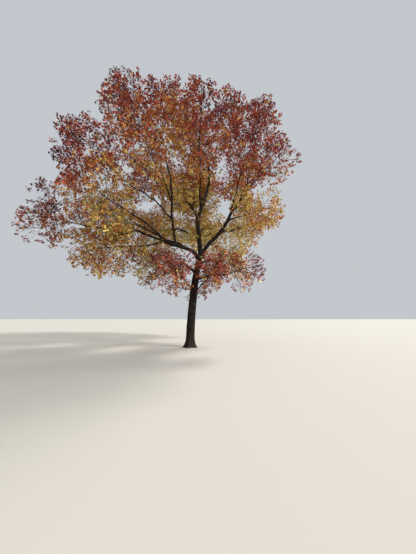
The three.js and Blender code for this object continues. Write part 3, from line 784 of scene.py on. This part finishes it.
# Twigs on the limbs: within the masses, and smaller ones on the bare stretches between them
LIMB_STEP = 0.4  # between pairs
LIMB_SHARE = 0.75  # of a limb's length, that bears pairs at that step
LIMB_ZONE = [0.25, 0.98]
LIMB_TURN_WAVER = 0.3
LIMB_ANGLE = [50, 75]
LIMB_LENGTH = [0.5, 1.3]
LIMB_REACH = 0.9  # of the way to the side of the mass
LIMB_LEAST = 0.35
LIMB_TAPER = [0.34, 0.16]  # of the limb's radius
LIMB_RADII = [0.003, 0.016]  # the least and the most
LIMB_LIFT = 0.15
BARE_LENGTH = [0.4, 1.25]
BARE_LIFT = 0.2
BARE_SLENDER = 0.8  # of the radii within the masses
BARE_BEHIND = [-0.3, 0.3]  # how far back a twig points, from unlikely to most likely
BARE_LIKELY = {"bough": 0.45, "limb": 0.9}
CLEAR = 0.1  # depth in a mass, or distance from one, that counts


def limb_twigs():
    """Twigs on every limb but the trunk. On bare stretches they mostly grow at the back."""
    groups = []
    for index, (name, limb) in enumerate(limbs.items()):
        if name == "trunk":
            continue
        count = max(2, int(limb.curve.length * LIMB_SHARE / LIMB_STEP))
        share = np.linspace(*LIMB_ZONE, count)
        place, along = limb.curve.at(share), limb.curve.tangent(share)
        mass, depth = home_of(place)
        step = np.arange(count)
        base = scramble(index, USE.limb)
        waver = LIMB_TURN_WAVER * chance(base, USE.waver + step)
        turn = (chance(base, USE.turn) + step / 2 + waver) * math.pi
        out = rotated(side_of(along), along, turn)
        radii = np.clip(limb.radius(share)[:, None] * np.array(LIMB_TAPER), *LIMB_RADII)
        likely = BARE_LIKELY["bough" if name in BOUGH_NAMES else "limb"]
        nowhere, none = np.full(count, NO_MASS), np.zeros(count)
        for way in (1, -1):
            seed = scramble(base, LIMB_USE.seed + 2 * step + (way > 0))
            angle = np.radians(drawn(LIMB_ANGLE, seed, LIMB_USE.angle))[:, None]
            direction = along * np.cos(angle) + way * out * np.sin(angle)
            reach = reach_in(mass, place, direction) * LIMB_REACH
            length = np.minimum(drawn(LIMB_LENGTH, seed, LIMB_USE.length), reach)
            grown = Twigs(place, direction, length, none + LIMB_LIFT, radii, seed, mass, none)
            groups.append(grown.kept((depth > CLEAR) & (length > LIMB_LEAST)))
            length = drawn(BARE_LENGTH, seed, LIMB_USE.bare_length)
            own = scramble(seed, LIMB_USE.bare)
            bare = Twigs(place, direction, length, none + BARE_LIFT, radii * BARE_SLENDER, own, nowhere, none)
            behind = smoothstep(*BARE_BEHIND, direction[:, 1]) * likely
            groups.append(bare.kept((depth < -CLEAR) & (chance(seed, LIMB_USE.bare_kept) < behind)))
    return together(groups)


# The thin leafy twigs on the trunk below the lowest masses: height, bearing in degrees, length, lift
LOW_TWIGS = [(3.55, 12, 1.2, -0.3), (3.12, 173, 1.5, -0.1), (2.86, 352, 0.75, 0.15)]
LOW_TWIG_RADII = [0.034, 0.011]
LOW_TWIG_RISE = 0.12


def low_twigs():
    height, bearing, length, lift = np.array(LOW_TWIGS).T
    bearing = np.radians(bearing)
    count = len(LOW_TWIGS)
    curve = limbs["trunk"].curve
    start = curve.at(curve.share_at_height(height))
    direction = unit(np.stack([np.cos(bearing), np.sin(bearing), np.full(count, LOW_TWIG_RISE)], -1))
    radii = np.tile(LOW_TWIG_RADII, (count, 1))
    seed = scramble(np.arange(count), USE.low_twig)
    return Twigs(start, direction, length, lift, radii, seed, np.full(count, NO_MASS), np.zeros(count))


stems = make_stems()
main_twigs = together([make_main_twigs(stems), limb_twigs(), low_twigs()])
side = together([grown_on(main_twigs, SIDE_TWIG), grown_on(stems, STEM_TWIG)])

# Tints, from the greenest gold to the darkest crimson, with their material slots
TINTS = [
    # straw, the palest tint, used where the tone is lowest, is painted glow: light shining through shaded
    # inner leaves
    ("straw", "#e6d084", "gold_leaves"),
    ("olive", "#a39c54", "gold_leaves"),
    ("yellow", "#e8cc70", "gold_leaves"),
    ("gold", "#cd9d48", "gold_leaves"),
    ("amber", "#bd7b3e", "russet_leaves"),
    ("orange", "#b4653a", "russet_leaves"),
    ("russet", "#7b4630", "russet_leaves"),
    ("flame", "#b8553c", "scarlet_leaves"),
    ("scarlet", "#9f3e32", "scarlet_leaves"),
    ("crimson", "#7e3a3f", "crimson_leaves"),
    ("wine", "#5f3947", "crimson_leaves"),
]
STEPS_OF_TINT = 10  # from tone 0 to tone 1
TINT_SPREAD = 0.3  # of tone, among the leaves of one spray
TONE_SPREAD = 0.36  # of tone, among sprays
SPRAY_MIDDLE = 0.6  # of a side twig's length

# How red the foliage is. Each zone adds its amount of tone where all of its ranges are full. A range goes
# from where a measure starts to count to where it counts in full.
PLAIN_RED = 0.22
RED_ZONES = [
    (0.34, [("crown", 0.45, 1.0)]),
    (0.2, [("height", 7.9, 12.0)]),
    (-0.12, [("height", 10.8, 12.0), ("height", 14.6, 13.4)]),
    (0.2, [("right", -2.2, -4.5), ("height", 6.8, 9.0)]),
    (-0.18, [("right", -2.2, -4.5), ("height", 8.4, 6.2)]),
    # The far left is redder: its crimson tips, and darker tints as painted shade of the crown's shaded left
    # side
    (0.24, [("right", -5.6, -7.8)]),
    (-0.2, [("right", 1.2, 3.2), ("height", 9.6, 7.6)]),
    (-0.12, [("height", 9.5, 7.0), ("back", 0.0, 3.0)]),
    (0.16, [("deep_patch", 2.6, 1.0)]),
]
DEEP_PATCH = np.array([1.8, -2.5, 10.2])  # the middle of the darkest patch of the crown's front
LOW_RED = 0.58  # near the trunk, low down
LOW_RED_RISE = (0.18, [("height", 3.5, 4.6)])
LOW_RED_MIDDLE = 0.3
LOW_RED_REACH = 3.8
LOW_RED_TOP = 5.2
# Behind the fork's limbs the leaves are less red: partly their own gold, and partly paler tints as painted
# glow of light shining through them
WINDOW_MIDDLE = [0.5, 2.5]  # of the golden leaves behind the fork's limbs
WINDOW = [("height", 10.0, 8.5), ("height", 4.6, 5.4), ("window", 4.0, 2.6)]
WINDOW_GOLD_AND_GLOW = 0.1
LEAST_RED = 0.12
MOTTLE_LUMPS = [(0.2, 0.8)]  # size, and how many to the metre
MOTTLE_SEED = 901


def zoned(base, zones, measures):
    """A base value, with each zone's amount added where it counts."""
    return sum((within(ranges, measures, amount) for amount, ranges in zones), start=base)


def measures_of(place):
    x, y, z = place.T
    crown = length_of((place - CROWN_CENTRE) / CROWN_RADII)
    return {"right": x, "back": y, "height": z, "crown": crown}


def redness(place):
    """How red the foliage is at a place, from 0 to 1."""
    x, y, z = place.T
    measures = measures_of(place)
    measures["deep_patch"] = length_of(place - DEEP_PATCH)
    measures["window"] = np.hypot(x - WINDOW_MIDDLE[0], y - WINDOW_MIDDLE[1])
    low = (np.hypot(x - LOW_RED_MIDDLE, y) < LOW_RED_REACH) & (z < LOW_RED_TOP)
    red = np.where(low, zoned(LOW_RED, [LOW_RED_RISE], measures), zoned(PLAIN_RED, RED_ZONES, measures))
    # less red in the window behind the fork: golder, and paler as painted glow
    gold = WINDOW_GOLD_AND_GLOW * within(WINDOW, measures)
    mottle = lumps(place, MOTTLE_LUMPS, MOTTLE_SEED)
    return np.maximum(red - gold + mottle, LEAST_RED - gold)


tone = redness(side.place_and_tangent(SPRAY_MIDDLE)[0]) + TONE_SPREAD * (chance(side.seed, USE.tone) - 0.5)
side = side._replace(tone=tone)

# How likely a shoot is to be kept, in zones as above, with gaps among the sprays
PLAIN_DENSITY = 0.73
DENSITY_ZONES = [
    (-0.36, [("crown", 0.78, 1.02)]),
    (-0.22, [("back", -0.6, -1.6), ("height", 5.5, 6.5), ("height", 11.5, 10.0), ("aside", 4.5, 3.0)]),
    (0.25, [("back", 1.5, 3.5)]),
    (-0.15, [("right", 3.0, 5.0)]),
]
LEAST_DENSITY = 0.25
THINNED = {"inner_left": 0.3, "low_left": 0.05, "low_right": 0.1, "low_far_right": 0.2}
GAP_LUMPS = [(1.0, 1.1), (0.5, 2.3)]
GAP_SEED = 950
GAP_CUT = [0.2, 0.46]  # of density, in the crown's middle and at its outside
GAP_OUTSIDE = [0.5, 0.85]
GAP_RANGE = [0.05, 0.7]


def density(place, mass):
    """The share of shoots that are kept at a place in a mass."""
    measures = measures_of(place)
    measures["aside"] = np.abs(measures["right"])
    gaps = lumps(place, GAP_LUMPS, GAP_SEED)
    cut = between(GAP_CUT, smoothstep(*GAP_OUTSIDE, measures["crown"])) * smoothstep(*GAP_RANGE, gaps)
    share = np.maximum(zoned(PLAIN_DENSITY - cut, DENSITY_ZONES, measures), LEAST_DENSITY)
    thinned = np.array([THINNED.get(name, 0.0) for name in MASS_NAMES] + [0.0])  # the last is for NO_MASS
    return share * (1 - thinned[mass])


shoots = grown_on(side, SHOOT)
shoots = shoots.kept(chance(shoots.seed, USE.kept) < density(shoots.start, shoots.mass))

# The meshes of the twigs and shoots
TWIG_FORMS = [(stems, 8, 8), (main_twigs, 7, 5), (side, 3, 3)]  # rings, sides
SHOOT_SIDES = 3
SHOOT_FACES = np.array([[0, 1, 3], [1, 2, 3], [2, 0, 3], [0, 2, 1]])


def twig_meshes(twigs, rings, sides):
    """Closed tubes along many twigs."""
    share = twigs.all_at(np.linspace(0, 1, rings))
    centre, tangent = twigs.at(share), twigs.tangent(share)
    first = side_of(tangent[:, 0])[:, None]
    across = unit(first - tangent * (first * tangent).sum(-1, keepdims=True))
    ring = rings_round(across, np.cross(tangent, across), angles_round(sides))
    skin = centre[:, :, None] + ring * twigs.radius(share)[..., None, None]
    vertices = np.concatenate([skin.reshape(len(skin), -1, 3), centre[:, [0, -1]]], 1)
    return copies(vertices, tube_faces(rings, sides))


def spike_meshes(twigs):
    """The finest shoots: three-sided, and drawn out to a point."""
    start, tangent = twigs.place_and_tangent(0.0)
    across = side_of(tangent)
    ring = rings_round(across, np.cross(tangent, across), angles_round(SHOOT_SIDES))
    base = start[:, None] + ring * twigs.radii[:, 0][:, None, None]
    tip, _ = twigs.place_and_tangent(1.0)
    return copies(np.concatenate([base, tip[:, None]], 1), SHOOT_FACES)


add_piece("twigs", FOLIAGE_NODES, twig_bark, "bark", *joined([twig_meshes(*form) for form in TWIG_FORMS]))
add_piece("shoots", FOLIAGE_NODES, twig_bark, "bark", *spike_meshes(shoots))

# Leaves. The blade has five lobes and is 1 long from its base to its tip. The numbers of a point are across,
# along, and out of the blade's plane, and the right half is mirrored.
LEAF_HALF = np.array([[0.43, 0.1, -0.06], [0.27, 0.24, 0.04], [0.58, 0.63, -0.1], [0.19, 0.52, 0.05]])
LEAF_TIP = [0.0, 1.0, -0.13]
LEAF = np.vstack([[0.0, 0.0, 0.0], LEAF_HALF, LEAF_TIP, LEAF_HALF[::-1] * [-1, 1, 1]])
ROOTS = [len(LEAF), len(LEAF) + 1]  # of the stalk: two vertices after the blade's
LEAF_FACES = np.array([[0, i, i + 1] for i in range(1, len(LEAF) - 1)] + [[0, *ROOTS]])
LEAF_SIZE = [0.095, 0.14]
LEAF_WIDTH = [0.9, 1.1]  # across, as a share of the plain blade's
LEAF_CURL = [0.4, 1.7]  # out of its plane, as a share of the plain blade's
LEAF_ANGLE = [35, 70]  # between stalk and twig, in degrees
LEAF_DROOP = [0.25, 1.15]  # how far a blade hangs from its stalk's own direction
LEAF_OUTWARD = 0.35  # how far a blade faces the way that its stalk points
LEAF_ROLL = 2.0  # in radians, from the least to the most
SMALL_LEAVES = SimpleNamespace(share=0.86, height=5.3, reach=4)  # low down and near the trunk
STALK = [0.035, 0.075]
STALK_SAG = 0.15
STALK_HALF = 0.0022  # of its thickness, at its root


def leaves_on(twigs, share, first_use):
    """A pair of leaves at a share of each twig: where each stalk starts, its direction, seed and tone."""
    place, along = twigs.place_and_tangent(share)
    out = rotated(side_of(along), along, chance(twigs.seed, USE.turn) * math.pi)
    found = []
    for way in (1, -1):
        seed = scramble(twigs.seed, first_use + (way > 0))
        angle = np.radians(drawn(LEAF_ANGLE, seed, LEAF_USE.angle))[:, None]
        direction = along * np.cos(angle) + way * out * np.sin(angle)
        found.append((place, direction, seed, twigs.tone))
    return found


def end_leaf(twigs, use):
    """One leaf at each twig's tip, in the twig's own direction."""
    return *twigs.place_and_tangent(1.0), scramble(twigs.seed, use), twigs.tone


def leaf_vertices(place, stalk_way, seed):
    """The vertices of each leaf: its blade's, then the two at the root of its stalk."""
    small = (place[:, 2] < SMALL_LEAVES.height) & (length_of(place[:, :2]) < SMALL_LEAVES.reach)
    size = drawn(LEAF_SIZE, seed, LEAF_USE.size)
    size = np.where(small, SMALL_LEAVES.share * size, size)
    stalk_way = unit(stalk_way - UP * STALK_SAG)
    base = place + stalk_way * drawn(STALK, seed, LEAF_USE.stalk)[:, None]
    way = unit(stalk_way - UP * drawn(LEAF_DROOP, seed, LEAF_USE.droop)[:, None])
    facing = unit(UP + LEAF_OUTWARD * unit(stalk_way * [1, 1, 0]))
    normal = unit(facing - way * (facing * way).sum(-1, keepdims=True))
    normal = rotated(normal, way, (chance(seed, LEAF_USE.roll) - 0.5) * LEAF_ROLL)
    right = np.cross(way, normal)
    across, along, bulge = LEAF.T
    across = across * drawn(LEAF_WIDTH, seed, LEAF_USE.width)[:, None]
    along = np.broadcast_to(along, across.shape)
    bulge = bulge * drawn(LEAF_CURL, seed, LEAF_USE.curl)[:, None]
    vertices = base[:, None]
    for amount, axis in zip((across, along, bulge), (right, way, normal)):
        vertices = vertices + (amount * size[:, None])[..., None] * axis[:, None]
    roots = place[:, None] + right[:, None] * np.array([[STALK_HALF], [-STALK_HALF]])
    return np.concatenate([vertices, roots], 1)


def tints_of(tone, seed):
    """The number of each leaf's tint, by its spray's tone and by chance."""
    strayed = chance(seed, LEAF_USE.tint) + chance(seed, LEAF_USE.tint + 1) - 1
    tint = np.floor((tone + TINT_SPREAD * strayed) * STEPS_OF_TINT).astype(int) + 1
    return np.clip(tint, 0, len(TINTS) - 1)


def add_leaves():
    """A piece of leaves for each tint."""
    found = [
        *leaves_on(shoots, 0.55, USE.shoot_leaf),
        *leaves_on(shoots, 0.97, USE.last_shoot_leaf),
        *leaves_on(side, 0.96, USE.twig_leaf),
        end_leaf(side, USE.end_leaf),
        *leaves_on(main_twigs, 0.97, USE.main_leaf),
    ]
    place, stalk_way, seed, tone = (np.concatenate(column) for column in zip(*found))
    leaves, tint = leaf_vertices(place, stalk_way, seed), tints_of(tone, seed)
    for index, (name, colour, slot) in enumerate(TINTS):
        material = plain_material("leaf_" + name, colour, roughness=0.6)
        add_piece("leaves_" + name, FOLIAGE_NODES, material, slot, *copies(leaves[tint == index], LEAF_FACES))


add_leaves()

# Floor, light and camera
def add_floor(half, colour):
    mesh = bpy.data.meshes.new("floor")
    corners = [(half * x, half * y, 0) for x, y in ((-1, -1), (1, -1), (1, 1), (-1, 1))]
    mesh.from_pydata(corners, [], [(0, 1, 2, 3)])
    mesh.materials.append(plain_material("floor_paint", colour, roughness=0.9))
    placed("floor", mesh)


def add_sky(colour, strength):
    world = bpy.data.worlds.new("studio")
    world.use_nodes = True
    background = world.node_tree.nodes["Background"]
    background.inputs["Color"].default_value = linear(colour)
    background.inputs["Strength"].default_value = strength
    bpy.context.scene.world = world


def add_sun(name, elevation, bearing, strength, colour, spread):
    """A soft sun. The three angles are in degrees."""
    lamp = bpy.data.lights.new(name, "SUN")
    lamp.energy = strength
    lamp.color = colour
    lamp.angle = math.radians(spread)
    placed(name, lamp).rotation_euler = (math.radians(90 - elevation), 0, math.radians(bearing))


def add_camera(place, looking_up, lens, frame_width):
    """The photo's camera. It looks along +Y, and up by some degrees."""
    data = bpy.data.cameras.new("camera")
    data.sensor_width = frame_width
    data.lens = lens
    data.clip_end = 1000
    camera = placed("camera", data)
    camera.location = place
    camera.rotation_euler = (math.radians(90 + looking_up), 0, 0)
    bpy.context.scene.camera = camera


add_floor(half=150.0, colour="#989691")
add_sky(colour="#d5dae0", strength=0.82)
add_sun("key", elevation=38, bearing=66, strength=4.8, colour=(1.0, 0.96, 0.9), spread=10)
add_sun("rim", elevation=42, bearing=138, strength=4.6, colour=(1.0, 0.95, 0.88), spread=10)
add_camera(place=(0.97, -12.0, 1.6), looking_up=10.7, lens=13.776, frame_width=36)
bpy.context.scene.view_settings.view_transform = "Standard"
